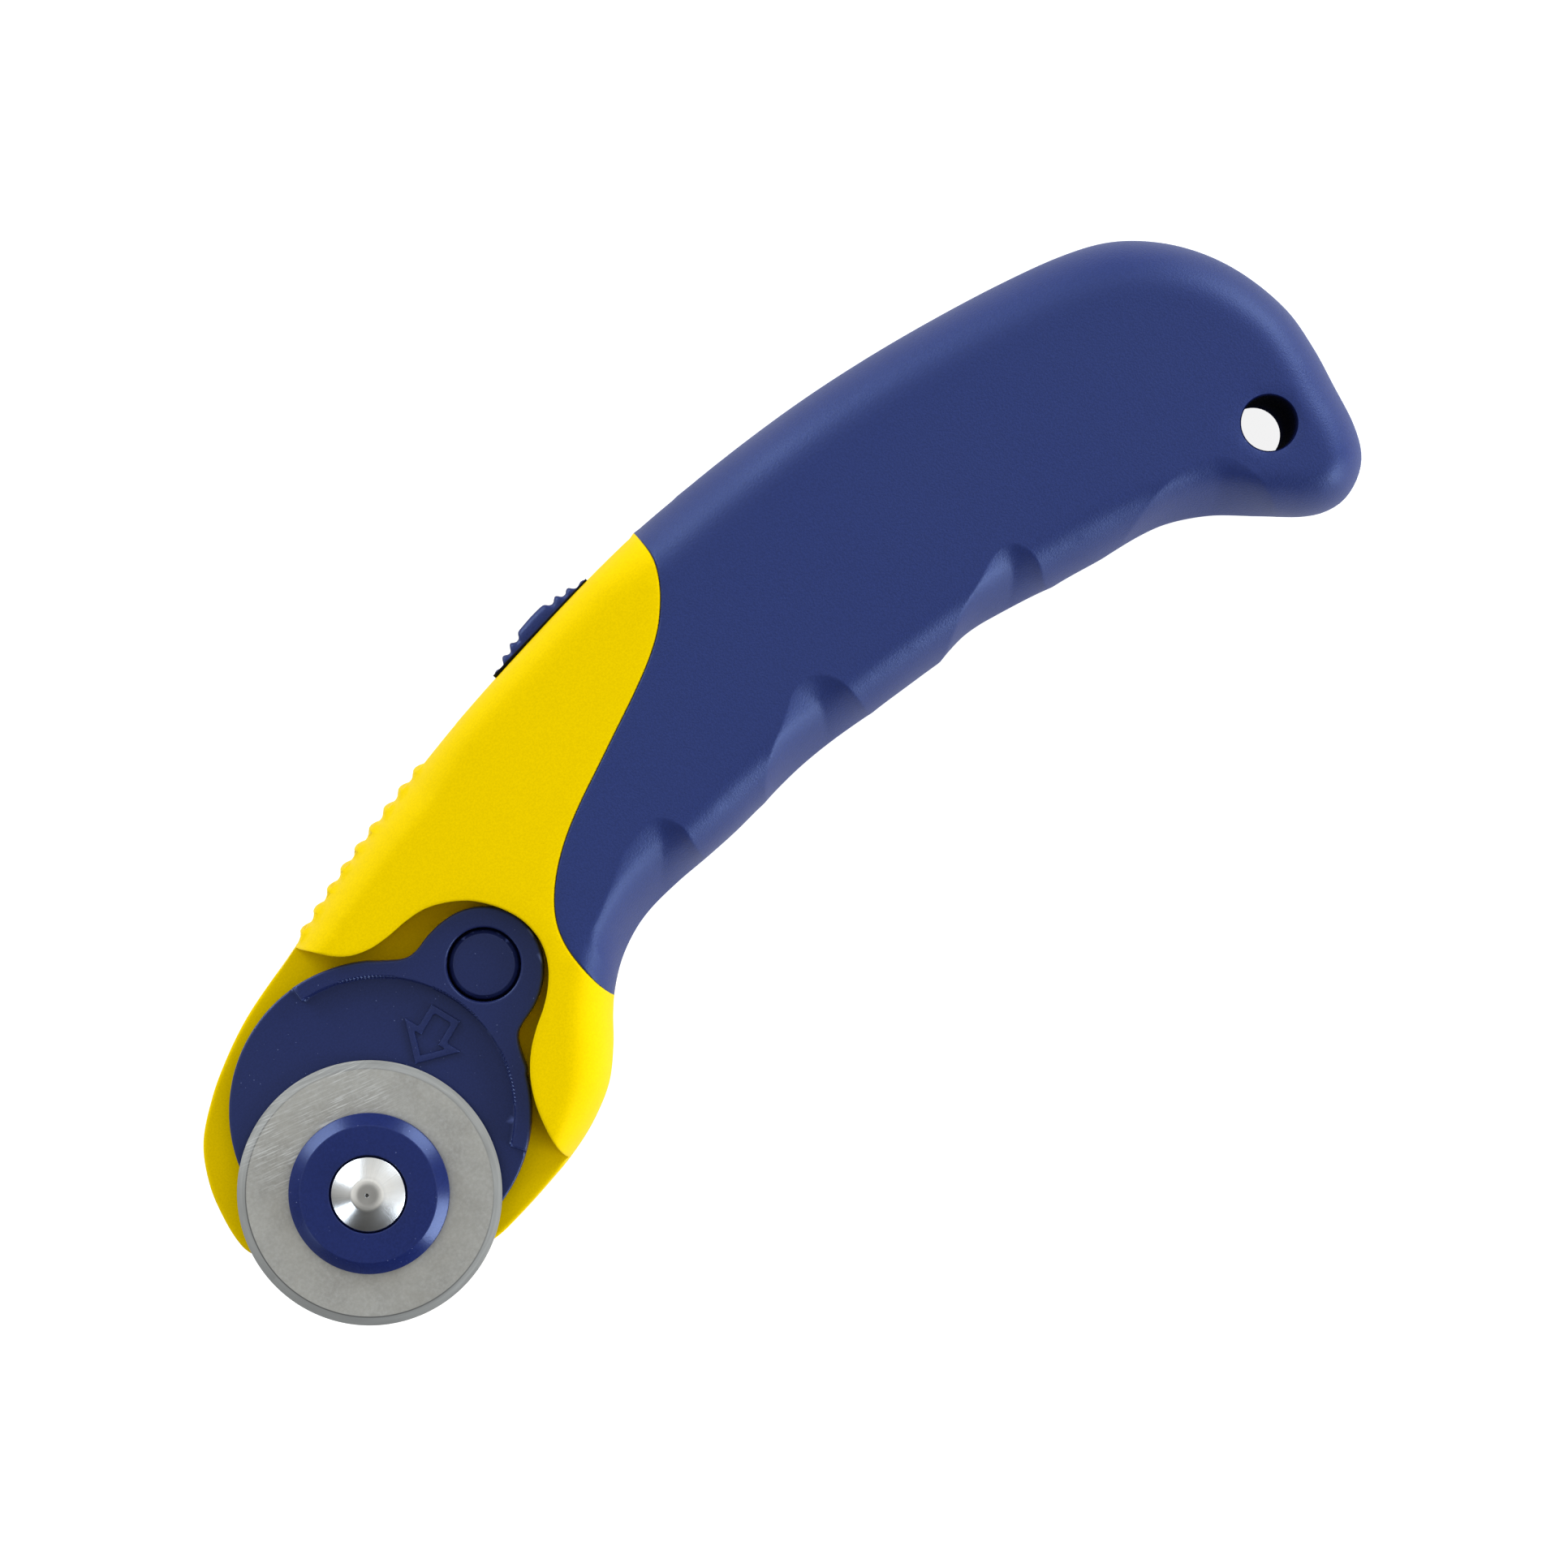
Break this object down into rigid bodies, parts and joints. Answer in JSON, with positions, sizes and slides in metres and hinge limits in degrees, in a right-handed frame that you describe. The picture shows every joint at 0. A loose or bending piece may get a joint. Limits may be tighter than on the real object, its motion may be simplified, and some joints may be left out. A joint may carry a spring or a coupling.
{
  "type": "rotary cutter",
  "caption": "Hand-held rotary cutter: a round steel blade with a sliding guard on a curved two-colour pistol handle with finger scoops and a hanging hole.",
  "frame": {"origin": "middle of the tool's bounding box in plan, at the back face that it lies on", "axes": "+X from the blade to the tail, +Y from the finger side to the thumb side, +Z from the back face up to the blade side"},
  "size_m": [0.1492, 0.0488, 0.0186],
  "materials": {
    "yellow_shell": "moulded, semi-gloss",
    "blue_grip": "soft-touch, fine moulded grain",
    "blue_guard": "moulded, satin",
    "blue_gloss": "moulded, gloss",
    "blade_steel": "ground",
    "polished_steel": "polished",
    "spring_steel": "rolled",
    "zinc_steel": "zinc plated",
    "brass_insert": "machined"
  },
  "bodies": {
    "handle": {"body_front_shell": "yellow_shell", "body_back_shell": "yellow_shell", "grip_front": "blue_grip", "grip_back": "blue_grip", "shell_screws": "zinc_steel", "spindle_bush": "polished_steel", "blade_bolt": "polished_steel", "retaining_ring": "blue_gloss", "spring_washer": "spring_steel", "detent_spring": "spring_steel"},
    "blade": {"blade": "blade_steel"},
    "slider": {"thumb_slider": "blue_guard", "slide_bar": "zinc_steel", "pivot_pin": "blue_guard"},
    "guard": {"guard_plate": "blue_guard"},
    "nut_washer": {"nut_washer": "zinc_steel"},
    "nut": {"thumb_nut": "blue_gloss", "nut_insert": "brass_insert"}
  },
  "joints": [
    {"name": "blade_spin", "type": "hinge", "parent": "handle", "child": "blade", "pos_m": [-0.06035, -0.00975, 0.0153], "axis": [0, 0, 1], "continuous": true},
    {"name": "guard_slide", "type": "slide", "parent": "handle", "child": "slider", "axis": [-0.9969, -0.0785, 0], "range_m": [0, 0.0084], "deforming": ["detent_spring"]},
    {"name": "guard_turn", "type": "hinge", "parent": "slider", "child": "guard", "pos_m": [-0.03525, 0.0001, 0.014], "axis": [0, 0, 1], "range_deg": [0, 16]},
    {"name": "nut_travel", "type": "slide", "parent": "handle", "child": "nut_washer", "axis": [0, 0, -1], "range_m": [0, 0.0021]},
    {"name": "nut_turn", "type": "hinge", "parent": "nut_washer", "child": "nut", "pos_m": [-0.06035, -0.00975, 0.003], "axis": [0, 0, 1], "range_deg": [0, 1080]}
  ],
  "couplings": [
    {"joint": "nut_turn", "follows": "nut_travel", "rad_per_m": 8975.9},
    {"joint": "guard_turn", "follows": "guard_slide", "rad_per_m": 33.244}
  ]
}
